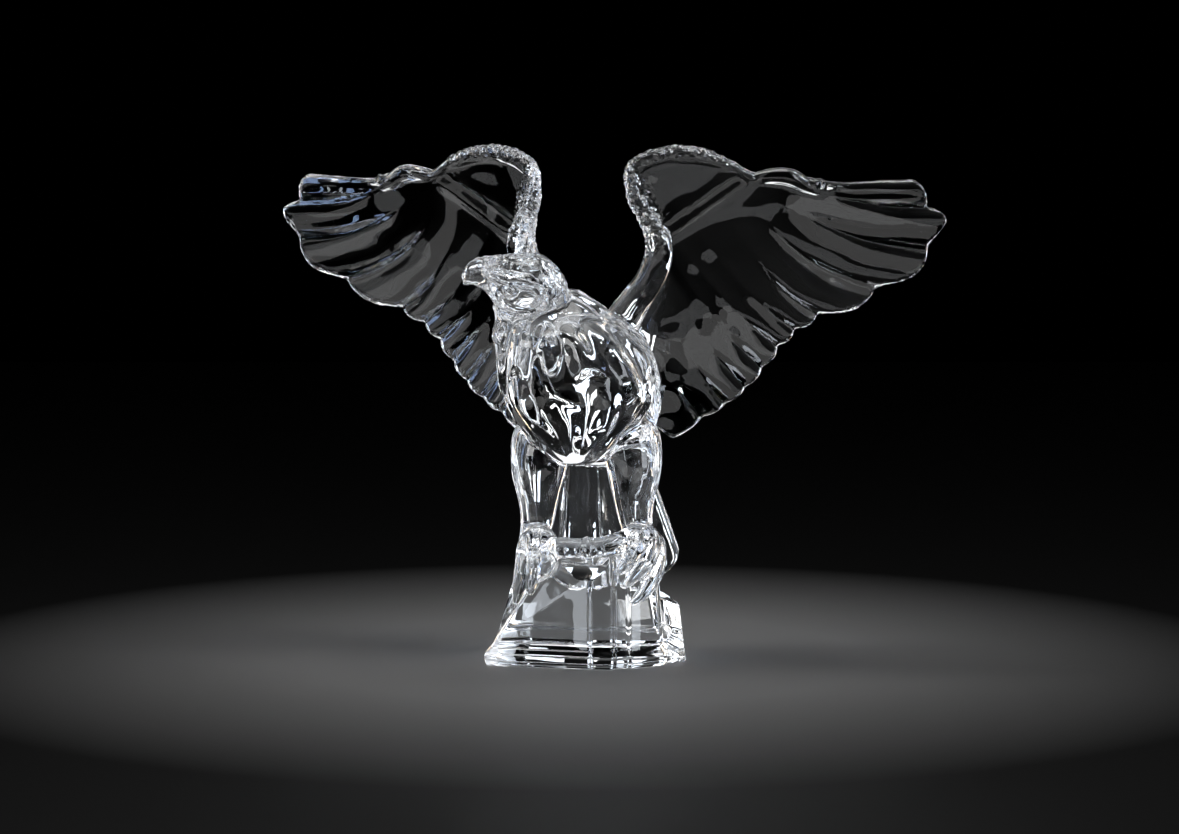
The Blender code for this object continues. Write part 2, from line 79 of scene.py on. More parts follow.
# The finest relief, carved only in this dressed model
RIM_PEBBLES = (0.0030, 0.0007)     # how wide and how high
HEAD_PEBBLES = (0.0042, 0.00032)
WAVE_RELIEF = 0.0004        # slow waves all over the cast wall
BREAST_WAVES = 0.0012       # and how much higher they are on the breast
WAVE_SIZE = 0.016

# The bird's grid: its height is this many steps, counted from the perch
GRID_STEPS = 187.0
STEP = BIRD_HEIGHT / GRID_STEPS
WING_REACH = 160.0          # steps from the bird's middle to the longest feather's tip
WIDEN = WING_SPAN / (2 * WING_REACH * STEP)

# The crystal
GLASS_COLOUR = (0.93, 0.95, 0.97, 1.0)
GLASS_IOR = 1.545
CREASE = math.radians(32)   # edges sharper than this stay crisp
HEAD_STIPPLE = 0.4          # how strong the head's stipple is beside the rims'
FROST = 0.22                # the roughness of the pebbles
RIPPLE_SCALE = 70.0
RIPPLE_SHARE = 0.25         # the ripple's height beside the hammered dots'
HAMMER_SCALE = 480.0
BUMP_HEIGHT = 0.0006

# The floor, in metres from the middle, and the two greys of its painted pool of light: pale grey near the
# figurine, painted near black further out where the light would fall off
FLOOR_REACH = 1.6
FLOOR_GAP = 0.0003          # level with the glass, the floor would be lost to light that leaves the rock
# Painted pool of light: the pale grey near the middle and the painted shade further out are colours on the
# floor, not light
FLOOR_PAINTED_LIGHT = (0.13, (0.5, 0.5, 0.5, 1))
FLOOR_PAINTED_SHADE = (0.32, (0.004, 0.004, 0.004, 1))

# The camera, at the photograph's angle
CAMERA_LENS = 120.0
CAMERA_PLACE = (0.0014, -1.80, 0.2915)
CAMERA_TILT = math.radians(84.29)

# The rolled rim of the bird's left wing, from the shoulder up round the wrist to the first feather
RIM = [
    (4, 20, 96), (12, 14, 112), (19, 11, 121), (24, 8, 131), (27, 4, 140), (27.5, 0, 148.5),
    (25.5, -4, 158), (22, -8, 166), (20.5, -11, 173), (22.5, -12, 179), (30, -10, 184),
    (42, -6, 186.5), (55, -1, 185), (66.5, 4, 180), (75, 9, 174.5), (85, 13, 173.5),
    (92.5, 15, 175.5), (96.5, 17, 171), (101, 20, 168.5),
]
# One row for each line between two feathers: its start along the rim, its bend and its notch
WING_LINES = [
    (0.0, (12, 24, 60), (35, 26, 50.5)),
    (1.5, (24, 28, 92), (48, 31, 60)),
    (3.0, (32, 30, 98), (58, 35, 66)),
    (4.5, (39, 32, 103), (67, 38, 74)),
    (6.2, (46, 33, 109), (74, 40, 83)),
    (8.0, (53, 33, 114), (81, 42, 93)),
    (10.0, (60, 32, 119), (89, 43, 101)),
    (12.0, (68, 31, 124), (100, 43, 108)),
    (13.6, (78, 30, 133), (127, 42, 120.5)),
    (15.0, (92, 29, 145), (151, 42.5, 139.5)),
    (16.7, (108, 29, 158), (150, 42, 158)),
    (18.0, (124, 31, 169.5), (144, 39, 171)),
]
FOREARM = [(76.0, 172.0), (31.0, 141.0)]    # across and up, at the wrist and at the shoulder
# The thick upper arm, from the body to the bend of the rim: points and half thicknesses
ARM = [
    (8, 19, 98, 9), (15, 16, 108, 8), (21, 13, 116, 7), (27, 10, 124, 6.4), (32, 7, 133, 6.2),
    (34, 4, 141, 5.2), (32, 1, 149, 3.8), (29, -2, 156, 2.6),
]
THUMB = [
    (77, 11, 172, 2.6), (85, 12.5, 172.8, 3.6), (92, 15, 172, 4.0), (98, 18.5, 168.5, 3.2),
    (104, 22, 165, 1.6),
]
# How far each feather's tip stands out past its two notches, and where along it
WING_TIPS = [
    (2.0, 0.5), (1.6, 0.5), (1.8, 0.5), (2.0, 0.5), (2.2, 0.5), (2.2, 0.5),
    (2.6, 0.5), (5.2, 0.55), (6.5, 0.6), (9.3, 0.66), (3.0, 0.5),
]
TAIL_ROOT = [(-20, 20, 52), (-13, 20, 54), (0, 20, 55), (13, 20, 54), (20, 20, 52)]
TAIL_LINES = [
    (0.0, (-27, 30, 27), (-36, 36, -3)),
    (1.0, (-16.5, 31, 25), (-21, 36, -17)),
    (2.0, (0, 32, 20), (0, 36, -23)),
    (3.0, (16.5, 31, 25), (21, 36, -17)),
    (4.0, (27, 30, 27), (36, 36, -3)),
]
TAIL_TIPS = [(4.0, 0.5), (4.0, 0.5), (4.0, 0.5), (4.0, 0.5)]

# Breast and neck: height, middle across and along, half width, half depth
BREAST = [
    (40.3, -3, -9, 4, 4), (41.6, -3, -9, 9, 8.5), (44.5, -3, -9, 13.5, 13), (48.5, -3, -9, 17.5, 17.5),
    (54, -3, -9, 21.5, 22), (62, -2.5, -9, 27.5, 26.5), (72, -2, -9, 33, 30), (84, -3, -9, 35, 29.5),
    (94, -6, -10, 33.5, 27), (101, -10, -11.5, 30, 23), (106, -13, -12.5, 26.5, 17.5),
    (110, -15.5, -13.5, 24.5, 12.8), (114, -18, -14.5, 22.5, 9), (119, -20, -15.5, 16, 6),
    (123, -21, -16, 8, 3),
]
# Back and rump: middle, half width, half depth
BACK = [
    (-9, -9, 121, 8, 6.5), (-6.5, -5.5, 113, 16, 12.5), (-3, 2, 104, 22, 17), (0, 8, 92, 27, 20),
    (0, 12, 76, 30, 20), (0, 16, 62, 29, 17), (0, 20, 52, 24, 12), (0, 23, 42, 15, 8), (0, 24, 37, 9, 5),
]
# Legs and feet are drawn on the rock's grid, which is this many steps wide and deep.
# A thigh and shank, for the bird's left: middle, half width, half depth
ROCK_GRID = (92.0, 76.0)
LEG = [
    (14, 4, 72, 8, 9), (17, 2, 64, 11, 13), (20, 0, 54, 13.5, 15), (21.5, -3, 44, 13.5, 15),
    (22, -5, 34, 12, 13), (22, -6, 24, 9.5, 10), (22.5, -7, 15, 7.8, 8), (24, -8, 8, 7, 7.5),
    (25, -9, 0, 6.5, 7),
]
# Toes as points and half thicknesses
LEFT_TOES = [
    [(25, -11, 9, 6), (19, -22, 7.5, 5.4), (10, -28, 6, 4.6), (4, -29.3, 5, 4.7),
     (0.5, -29.6, 4.6, 5.9), (-3, -29.6, 4.6, 4.7), (-10, -29.5, 4.8, 5.2), (-16, -29, 4.6, 4.2)],
    [(26, -13, 8, 5.5), (24, -26, 7, 5.0), (19.5, -33, 1.5, 4.2), (15.5, -35.5, -4, 2.8),
     (13.5, -35.5, -7, 1.4)],
    [(27, -12, 8, 5.5), (28, -24, 5, 5.2), (25.5, -31.5, -2, 4.4), (20.5, -35.5, -8.5, 3.1),
     (17, -36, -12, 1.4)],
    [(28, -8, 7, 5.5), (31.5, -18, 3, 5.2), (31, -27, -6, 4.7), (26, -32.5, -15, 3.5),
     (20, -35, -20.5, 1.5)],
    [(28, -4, 6, 5.5), (28, 6, 5, 4.6), (28, 15, 1, 4.0), (28, 22, -6, 3.0), (28, 26, -12, 1.3)],
]
RIGHT_TOES = [
    [(-22, -12, 8, 6), (-18, -23, 7, 4.8), (-16.5, -29, 2, 4.2), (-18.5, -31, -5, 3.2),
     (-21.5, -31, -10, 1.4)],
    [(-23, -12, 8, 6), (-23, -22, 6, 5.0), (-23, -27.5, -1, 4.5), (-24.5, -28.5, -10, 3.3),
     (-26, -28.5, -17, 1.4)],
    [(-24, -9, 7, 6), (-27, -16, 3, 5.0), (-28.5, -20, -5, 4.3), (-30.5, -22, -14, 3.2),
     (-32.5, -23, -22, 1.4)],
    [(-25, -4, 6, 5.5), (-27, 6, 5, 4.6), (-27.5, 15, 1, 4.0), (-28, 22, -6, 3.0), (-27.5, 26, -12, 1.3)],
]
# Head along its own axis, from the nape to the tip of the beak:
# distance, height of the middle, half width, half height
HEAD_BACK = (-8.0, -16.0, 113.0)
HEAD = [
    (-3, 5, 6, 7), (1, 7.5, 9, 10.5), (6, 9.8, 11.6, 12.8), (12, 11.0, 13.4, 13.8), (19, 11.3, 13.2, 13.6),
    (25, 11.6, 11.4, 12.8), (29.5, 12.4, 8.8, 11.6), (32.5, 14.2, 6.6, 9.6), (35.5, 15.8, 5.4, 7.6),
    (39, 16.2, 4.8, 6.2), (42.5, 15.2, 4.0, 4.8), (44.5, 13.2, 2.8, 3.0),
]
BEAK_HOOK = [(35, 16, 4.5), (39.5, 15.6, 4.2), (42.3, 14.0, 3.3), (43.2, 12.2, 1.9)]
# Brow: distance, how far out, height and half thickness; the eye the same
BROW = [
    (7.5, 11.4, 9.5, 1.6), (14, 12.7, 12.6, 2.4), (21, 12.3, 14.0, 2.8), (28, 9.4, 15.2, 2.5),
    (34, 5.4, 17.4, 1.6),
]
EYE = (23.0, 10.3, 8.8, 2.9)
# The flat window of the cheek: distance, height, half length, half height and how far out it lies
CHEEK = (18.3, 5.2, 8.6, 5.9, 9.6)
HEAD_SQUARE = 0.78          # below 1 the head's section is squarer than an oval

# Rows of plumes: how many round the body, how long, and how far down the first row starts
BREAST_PLUMES = (12, 26.0)
BACK_PLUMES = (12, 20.0)

# The rock's facets: the foot of each edge and its top, on the rock's grid from its middle
ROCK_EDGES = [
    ((-45.3, -26.5), (-15.8, -25.5)), ((1.0, -36.4), (0.8, -29.6)), ((2.6, -38.6), (2.4, -31.2)),
    ((11.6, -38.2), (11.4, -31.2)), ((13.2, -35.8), (13.0, -29.2)), ((18.4, -34.6), (18.2, -28.0)),
    ((20.2, -35.6), (19.8, -28.8)), ((34.2, -27.0), (30.8, -22.6)), ((35.6, -23.6), (32.0, -19.6)),
    ((37.0, 12.0), (31.5, 8.0)), ((32.5, 25.0), (25.0, 19.0)), ((18.0, 34.5), (16.0, 26.0)),
    ((0.0, 37.5), (-3.0, 32.0)), ((-17.0, 36.0), (-14.0, 26.5)), ((-32.0, 29.0), (-25.0, 23.0)),
    ((-42.0, 12.0), (-30.0, 6.0)),
]
# Blocks fused to it, each as a lower and an upper outline of points
LUMP = [
    [(34, -24, 0), (45.8, -12.5, 0), (45.8, 4, 0), (36, 14, 0), (24, -6, 0)],
    [(33, -20.5, 31), (42.8, -11, 25), (42.8, 3, 25), (35, 11, 29), (24, -6, 33)],
]
WEDGE = [
    [(-4.3, -33.5, 40), (3.4, -33.8, 40), (3.4, -24, 42), (-4.3, -24, 42)],
    [(-12.0, -33.0, 47.5), (10.5, -34.5, 46.5), (10.5, -22, 49), (-12.0, -22, 49)],
]
ROCK_STEPS = 50.0           # the rock's height on the same grid


def catmull(points, at):
    """A smooth curve through the points, at a parameter counted in points."""
    points = np.asarray(points, float)
    at = np.clip(np.asarray(at, float), 0, len(points) - 1)
    i = np.minimum(at.astype(int), len(points) - 2)
    f = (at - i)[..., None]
    ends = np.vstack([2 * points[0] - points[1], points, 2 * points[-1] - points[-2]])
    p0, p1, p2, p3 = (ends[i + k] for k in range(4))
    return 0.5 * (2 * p1 + (p2 - p0) * f + (2 * p0 - 5 * p1 + 4 * p2 - p3) * f**2
                  + (3 * p1 - p0 - 3 * p2 + p3) * f**3)


def smoothstep(low, high, x):
    t = np.clip((x - low) / (high - low), 0, 1)
    return t * t * (3 - 2 * t)


def mesh_object(name, rings):
    """A closed body from rings of points that all have the same count."""
    bm = bmesh.new()
    made = [[bm.verts.new(p) for p in ring] for ring in rings]
    count = len(made[0])
    for low, high in zip(made, made[1:]):
        for k in range(count):
            n = (k + 1) % count
            bm.faces.new((low[k], low[n], high[n], high[k]))
    bm.faces.new(made[0][::-1])
    bm.faces.new(made[-1])
    bmesh.ops.recalc_face_normals(bm, faces=bm.faces)
    mesh = bpy.data.meshes.new(name)
    bm.to_mesh(mesh)
    bm.free()
    return bpy.data.objects.new(name, mesh)


def plumes(angle, height, rows):
    """Columns of long overlapping plumes down a body: how far each stands out, at most 1."""
    count, length = rows
    flow = count * angle / (2 * math.pi) + 0.3 * np.sin(height / 11 + np.sin(2 * angle))
    column = np.floor(flow + 0.5)
    swell = 0.5 + 0.5 * np.cos(2 * math.pi * flow)
    down = (height / length + 0.5 * (column % 2) - 0.25 * swell) % 1
    tip = (1 - down) * smoothstep(0, 0.12, down)
    return swell**0.8 * (0.35 + 0.65 * tip)


def ovals(name, sections, place, sides=32, rows=None):
    """A body lofted through level ovals: middle x, y, z, half width, half depth."""
    sections = sorted(sections, key=lambda row: row[2])
    steps = np.linspace(0, len(sections) - 1, 8 * len(sections))
    angles = np.linspace(0, 2 * math.pi, sides, endpoint=False)
    rings = []
    for x, y, z, wide, deep in catmull(sections, steps):
        relief = 0 * angles
        if rows:
            fade = float(smoothstep(42, 60, z) * (1 - smoothstep(101, 109, z))) * PLUME_RELIEF / STEP
            relief = plumes(angles, z, rows) * fade
        rings.append([place((x + (wide + r) * math.cos(a), y + (deep + r) * math.sin(a), z))
                      for a, r in zip(angles, relief)])
    return mesh_object(name, rings)


def tube(name, points, place, sides=14):
    """A tapered round bar through points, each with its half thickness."""
    path = catmull(points, np.linspace(0, len(points) - 1, 7 * len(points)))
    along = np.gradient(path[:, :3], axis=0)
    along /= np.linalg.norm(along, axis=1)[:, None]
    side = np.cross(along, (0.31, 0.12, 0.94))
    side /= np.linalg.norm(side, axis=1)[:, None]
    up = np.cross(side, along)
    rings = []
    for p, s, u in zip(path, side, up):
        angles = np.linspace(0, 2 * math.pi, sides, endpoint=False)
        rings.append([place(p[:3] + p[3] * (math.cos(a) * s + math.sin(a) * u)) for a in angles])
    return mesh_object(name, rings)


def feather_blade(name, rim, lines, tips, place, profile, per_feather=14, along=56):
    """A wing or tail: lines fan out from the rim, and each strip between two lines is a feather.

    profile gives how far the front and the back face lie from the middle surface.
    """
    count = len(tips)
    station = np.concatenate([i + np.linspace(0, 1, per_feather, endpoint=False) for i in range(count)])
    station = np.append(station, count)
    starts = np.interp(station, range(count + 1), [row[0] for row in lines])
    s = np.linspace(0, 1, along)[None, :, None] ** 1.15
    rim_at = catmull(rim, starts)[:, None]
    bend = catmull([row[1] for row in lines], station)[:, None]
    notches = np.array([row[2] for row in lines], float)
    smooth_edge = catmull(notches, station)[:, None]

    i = np.minimum(station.astype(int), count - 1)
    u = station - i
    straight = notches[i] + (notches[i + 1] - notches[i]) * u[:, None]
    reach = np.array([t[0] for t in tips])[i]
    skew = np.array([math.log(0.5) / math.log(t[1]) for t in tips])[i]
    bulge = reach * np.sin(math.pi * np.clip(u, 0, 1) ** skew) ** 0.75
    chord = notches[i + 1] - notches[i]
    outward = smooth_edge[:, 0] - bend[:, 0]
    chord /= np.linalg.norm(chord, axis=1)[:, None]
    outward -= (outward * chord).sum(1)[:, None] * chord
    outward /= np.linalg.norm(outward, axis=1)[:, None]
    edge = (straight + outward * bulge[:, None])[:, None]

    def surface(last):
        return (1 - s) ** 2 * rim_at + 2 * s * (1 - s) * bend + s**2 * last

    middle, calm = surface(edge), surface(smooth_edge)
    normal = np.cross(np.gradient(calm, axis=1), np.gradient(calm, axis=0))
    normal /= np.maximum(np.linalg.norm(normal, axis=2), 1e-9)[..., None]
    from_rim = np.linalg.norm(middle - rim_at, axis=2)
    ahead = np.gradient(calm, station, axis=0)
    width = np.linalg.norm(ahead, axis=2)
    share = station[:, None] / count + 0 * from_rim
    across = np.minimum(u, 1 - u)[:, None] * width
    inner = ((station > 0.5) & (station < count - 0.5))[:, None]
    front, back = profile(share, s[..., 0] + 0 * from_rim, from_rim, u[:, None] + 0 * from_rim,
                          np.where(inner, across, 99.0), middle)
    outer_edge = np.minimum(1, np.sqrt(np.clip((count - station) * 5 + 0.12, 0, 1)))[:, None]
    front_face = middle + normal * (front * outer_edge)[..., None]
    back_face = middle - normal * (back * outer_edge)[..., None]
    rings = [[place(p) for p in f] + [place(p) for p in b[::-1]] for f, b in zip(front_face, back_face)]
    return mesh_object(name, rings)


def groove(across, s, start):
    """Depth and tilt of the feather lines, both deepest at the tips, in steps."""
    deep = smoothstep(start, 1.0, s)
    wide = GROOVE_WIDTH / STEP * (0.35 + 0.65 * deep) / 2
    return GROOVE_DEPTH / STEP * deep * np.exp(-(across / wide) ** 2), deep


def forearm(points):
    """The ridge that runs from the wrist's notch down to the shoulder, on a wing's grid: 0 to 1."""
    wrist, shoulder = FOREARM
    run = np.subtract(shoulder, wrist)
    along = ((points[..., [0, 2]] - wrist) @ run) / (run @ run)
    off = points[..., [0, 2]] - wrist - along[..., None] * run
    side = off @ np.array((run[1], -run[0])) / math.hypot(*run)
    ends = smoothstep(-0.05, 0.1, along) * (1 - smoothstep(0.8, 1.05, along))
    return ends * np.exp(-(side / 3.2) ** 2) - 0.45 * ends * np.exp(-((side - 8) / 5) ** 2)


def wing_profile(share, s, from_rim, u, across, middle):
    roll = RIM_THICKNESS / STEP / 2 * (1.35 - 0.75 * smoothstep(0, 0.9, share))
    bead = np.sqrt(np.clip(roll**2 - np.clip(roll - from_rim, 0, None) ** 2, 0.02, None))
    blade = (BLADE_THICKNESS + (EDGE_THICKNESS - BLADE_THICKNESS) * s) / STEP / 2
    wide = RIM_WIDTH / STEP * (1 - 0.35 * smoothstep(0.3, 0.55, share) - 0.3 * smoothstep(0.6, 0.75, share))
    lip = smoothstep(0, 1.5, from_rim - wide)
    ramp = smoothstep(0, 18, from_rim - wide)
    long = smoothstep(0.52, 0.72, share)
    deep, fade = groove(across, s, 0.62 - 0.37 * long)
    strength = INNER_FEATHERS + (1 - INNER_FEATHERS) * long
    deep, fade = deep * strength, fade * strength
    tilt = FEATHER_TILT / STEP * (u - 0.5) * fade
    belly = 0.6 * FEATHER_TILT / STEP * np.sin(math.pi * u) * fade
    lead = smoothstep(WING_LINES[-2][0], WING_LINES[-2][0] + 0.8, share * WING_LINES[-1][0])
    swell = LEAD_FEATHER_RELIEF / STEP * lead * np.sin(math.pi * np.clip(from_rim / 15, 0, 1))
    belly = belly + swell * (1 - s)
    front = bead * (1 - lip) + blade * lip * 0.7 - deep + tilt + belly
    front = front + FOREARM_RELIEF / STEP * forearm(middle)
    back = bead * (1 - ramp) + blade * ramp * 1.3 - deep - tilt + belly
    least = GROOVE_FLOOR / STEP / 2
    return np.maximum(front, least), np.maximum(back, least)


def tail_profile(share, s, from_rim, u, across, middle):
    half = (TAIL_THICKNESS + (TAIL_EDGE_THICKNESS - TAIL_THICKNESS) * s) / STEP / 2
    deep, fade = groove(across, s, -0.6)
    ridge = 0.8 * np.clip(np.sin(math.pi * u), 0, 1) ** 0.6
    return half - 1.6 * deep + ridge, half - 1.6 * deep + ridge


def turned(angle):
    return Matrix.Rotation(angle, 4, "Z")


def bird_place(side=1):
    """Takes a grid point of the bird's left half to metres, or mirrors it to the right half."""
    turn = turned(-BIRD_TURN)

    def place(p):
        return turn @ (Vector((side * p[0], p[1], p[2])) * STEP) + Vector((0, 0, PERCH_HEIGHT))
    return place


def wing_place(side):
    turn = turned(-BIRD_TURN)

    def place(p):
        return turn @ (Vector((side * p[0] * WIDEN, p[1], p[2])) * STEP) + Vector((0, 0, PERCH_HEIGHT))
    return place


def head_place():
    """Takes a point of the head, along its axis from nape to beak, to metres."""
    turn = turned(-BIRD_TURN - HEAD_TURN)
    nape = bird_place()(HEAD_BACK)

    def place(p):
        return nape + turn @ (Vector((p[1], -p[0], p[2])) * STEP)
    return place


def head_parts():
    place = head_place()
    steps = np.linspace(0, len(HEAD) - 1, 7 * len(HEAD))
    angles = np.linspace(0, 2 * math.pi, 64, endpoint=False)
    rings = []
    for far, height, wide, tall in catmull(HEAD, steps):
        out = wide * np.sign(np.cos(angles)) * np.abs(np.cos(angles)) ** HEAD_SQUARE
        up = height + tall * np.sign(np.sin(angles)) * np.abs(np.sin(angles)) ** HEAD_SQUARE
        window = np.hypot((far - CHEEK[0]) / CHEEK[2], (up - CHEEK[1]) / CHEEK[3])
        flat = np.clip(out, -CHEEK[4], CHEEK[4])
        out = flat + (out - flat) * smoothstep(0.9, 1.1, window)
        rings.append([place((far, o, u)) for o, u in zip(out, up)])
    parts = [mesh_object("skull", rings)]
    parts.append(tube("hook", [(f, 0, h, r) for f, h, r in BEAK_HOOK], place))
    for side in (-1, 1):
        parts.append(tube("brow", [(f, side * w, h, r) for f, w, h, r in BROW], place))
        far, out, height, radius = EYE
        bulb = [(far, side * (out + k), height, math.sqrt(max(radius**2 - k**2, 0.01)))
                for k in np.linspace(-radius, radius, 7)]
        parts.append(tube("eye", bulb, place))
    return parts


def rock_place(p, out=0.0):
    """Takes a point of the rock's grid to metres, moved outwards by out."""
    x, y = p[0] / ROCK_GRID[0] * BASE_WIDTH, p[1] / ROCK_GRID[1] * BASE_DEPTH
    far = max(math.hypot(x, y), 1e-6)
    return (x * (1 + out / far), y * (1 + out / far), p[2] / ROCK_STEPS * PERCH_HEIGHT)


def perch_place(side=1):
    """Takes a point of a leg or toe to metres: on the rock's grid, and in steps above the perch."""

    def place(p):
        x, y, _ = rock_place((side * p[0], p[1], 0))
        return Vector((x, y, PERCH_HEIGHT + p[2] * STEP))
    return place


def rock_parts():
    """The rock's blocks, with rounded edges."""

    def ring(f, height, out=0.0):
        points = [tuple(a + (b - a) * f for a, b in zip(*edge)) for edge in ROCK_EDGES]
        return [rock_place((x, y, height), out) for x, y in points]

    band = BASE_FOOT_HEIGHT / PERCH_HEIGHT * ROCK_STEPS
    rings = [ring(0, 0, BASE_FOOT_LEDGE * 0.2), ring(0, band * 0.3, BASE_FOOT_LEDGE),
             ring(0, band * 0.7, BASE_FOOT_LEDGE), ring(0.05, band), ring(0.1, band * 1.3),
             ring(0.92, ROCK_STEPS * 0.93), ring(1.0, ROCK_STEPS * 1.02, -0.0012)]
    blocks = [mesh_object("rock", rings)]
    for name, outlines in (("lump", LUMP), ("wedge", WEDGE)):
        blocks.append(mesh_object(name, [[rock_place(p) for p in outline] for outline in outlines]))
    for block in blocks:
        edges = block.modifiers.new("rounding", "BEVEL")
        edges.width = FACET_ROUNDING
        edges.segments = 2
        edges.limit_method = "ANGLE"
        edges.angle_limit = math.radians(12)
    return blocks


def bird_parts():
    breast = [(x, y, z, w, d) for z, x, y, w, d in BREAST]
    parts = [ovals("breast", breast, bird_place(), 96, BREAST_PLUMES)]
    parts.append(ovals("back", BACK, bird_place(), 96, BACK_PLUMES))
    parts.append(feather_blade("tail", TAIL_ROOT, TAIL_LINES, TAIL_TIPS, bird_place(), tail_profile))
    for side in (-1, 1):
        parts.append(feather_blade("wing", RIM, WING_LINES, WING_TIPS, wing_place(side), wing_profile))
        parts.append(tube("thumb", THUMB, wing_place(side)))
        parts.append(tube("arm", ARM, wing_place(side), 24))
        parts.append(ovals("leg", LEG, perch_place(side), 24))
    parts += [tube("toe", toe, perch_place()) for toe in LEFT_TOES + RIGHT_TOES]
    return parts + head_parts()


def join(name, parts):
    """All the parts in one mesh, still overlapping."""
    bm = bmesh.new()
    for part in parts:
        bm.from_mesh(part.data)
        mesh = part.data
        bpy.data.objects.remove(part)
        bpy.data.meshes.remove(mesh)
    bmesh.ops.recalc_face_normals(bm, faces=bm.faces)
    mesh = bpy.data.meshes.new(name)
    bm.to_mesh(mesh)
    bm.free()
    return bpy.data.objects.new(name, mesh)


def melted(thing):
    """Melts the overlapping parts into one body."""
    bpy.context.scene.collection.objects.link(thing)
    melt = thing.modifiers.new("melt", "REMESH")
    melt.mode = "VOXEL"
    melt.voxel_size = MELT_SIZE
    melt.use_smooth_shade = True
    polish = thing.modifiers.new("polish", "SMOOTH")
    polish.factor = 0.5
    polish.iterations = MELT_PASSES
    bpy.context.view_layer.update()
    seen = thing.evaluated_get(bpy.context.evaluated_depsgraph_get())
    mesh = bpy.data.meshes.new_from_object(seen)
    bpy.data.objects.remove(thing)
    return mesh


def coordinates(mesh):
    found = np.empty(3 * len(mesh.vertices), np.float32)
    mesh.vertices.foreach_get("co", found)
    return found.reshape(-1, 3).astype(float)


def on_bird(points):
    """Points in metres on the bird's grid, with both wings folded onto the left half."""
    turn = np.array(turned(BIRD_TURN).to_3x3())
    grid = (points - (0, 0, PERCH_HEIGHT)) @ turn.T / STEP
    grid[:, 0] = np.abs(grid[:, 0])
    return grid


def on_head(points):
    """Points in metres along the head's own axis: distance, side, height."""
    turn = np.array(turned(BIRD_TURN + HEAD_TURN).to_3x3())
    grid = (points - np.array(bird_place()(HEAD_BACK))) @ turn.T / STEP
    return np.stack([-grid[:, 1], grid[:, 0], grid[:, 2]], axis=1)


def pebbled(points):
    """Where the glass has its small pebbled relief, 0 to 1: on the wings' rims, and on the head."""
    grid = on_bird(points)
    stations = np.linspace(4.6, len(RIM) - 6.0, 90)
    line = catmull(RIM, stations)
    inward = np.full(len(grid), 99.0)
    wide = np.zeros(len(grid))
    near = np.flatnonzero((grid[:, 2] > 118) & (grid[:, 0] < 90))
    for point, station in zip(line, stations):
        far = np.linalg.norm(grid[near] - point, axis=1)
        closer = far < inward[near]
        inward[near[closer]] = far[closer]
        share = station / (len(RIM) - 1)
        reach = 1 - 0.35 * smoothstep(0.3, 0.55, share) - 0.3 * smoothstep(0.6, 0.75, share)
        wide[near[closer]] = RIM_WIDTH / STEP * reach
    rim = 1 - smoothstep(0.82, 1.0, inward / np.maximum(wide, 1e-6))
    far, side, height = on_head(points).T
    head = smoothstep(-6, 0, far) * (1 - smoothstep(46, 50, far)) * smoothstep(-6, 0, height)
    head *= (np.abs(side) < 16) * (height < 34)
    window = np.hypot((far - CHEEK[0]) / CHEEK[2], (height - CHEEK[1]) / CHEEK[3])
    head *= smoothstep(1.05, 1.2, window) * (np.abs(side) > 4) + (np.abs(side) <= 4)
    return rim, head


def pebbles(points, size):
    """Rounded pebbles of about this size in metres: 0 between them, 1 on top."""
    tops = np.empty(len(points))
    for i, p in enumerate(points):
        first, second = noise.voronoi(Vector(p) / size)[0][:2]
        tops[i] = min(1.0, (second - first) * 2.2)
    return tops


def carve(mesh):
    """Pushes the melted surface in and out: pebbles, and the soft waves of hand-finished glass."""
    points = coordinates(mesh)
    normals = np.empty(3 * len(mesh.vertices), np.float32)
    mesh.vertex_normals.foreach_get("vector", normals)
    normals = normals.reshape(-1, 3)
    height = np.zeros(len(points))
    for mask, (size, relief) in zip(pebbled(points), (RIM_PEBBLES, HEAD_PEBBLES)):
        rough = np.flatnonzero(mask > 0.02)
        height[rough] += relief * mask[rough] * (pebbles(points[rough], size) - 0.6)
    grid = on_bird(points)
    breast = smoothstep(40, 60, grid[:, 2]) * (1 - smoothstep(100, 112, grid[:, 2]))
    breast *= 1 - smoothstep(34, 44, grid[:, 0])
    for i, p in enumerate(points):
        height[i] += (WAVE_RELIEF + BREAST_WAVES * breast[i]) * noise.noise(Vector(p) / WAVE_SIZE)
    mesh.vertices.foreach_set("co", (points + normals * height[:, None]).astype(np.float32).ravel())
    mesh.update()


def mark(mesh):
    """Stores where the pebbles are, for the material."""
    found = mesh.attributes.new("pebbled", "FLOAT", "POINT")
    rim, head = pebbled(coordinates(mesh))
    found.data.foreach_set("value", np.maximum(rim, HEAD_STIPPLE * head).astype(np.float32))


def reduced(mesh, name, blocks):
    """Brings the carved bird down to a sensible number of faces and casts the rock in one with it."""
    thing = bpy.data.objects.new(name, mesh)
    bpy.context.scene.collection.objects.link(thing)
    triangles = sum(len(p.vertices) - 2 for p in mesh.polygons)
    facet = thing.modifiers.new("facet", "DECIMATE")
    facet.ratio = min(1.0, FACET_COUNT / triangles)
    for block in blocks:
        bpy.context.scene.collection.objects.link(block)
        union = thing.modifiers.new("fuse_" + block.name, "BOOLEAN")
        union.operation = "UNION"
        union.solver = "EXACT"
        union.object = block
    bpy.context.view_layer.update()
    done = bpy.data.meshes.new_from_object(thing.evaluated_get(bpy.context.evaluated_depsgraph_get()))
    for old in blocks + [thing]:
        bpy.data.objects.remove(old)
    bpy.data.meshes.remove(mesh)
    done.polygons.foreach_set("use_smooth", np.ones(len(done.polygons), bool))
    done.set_sharp_from_angle(angle=CREASE)
    return done


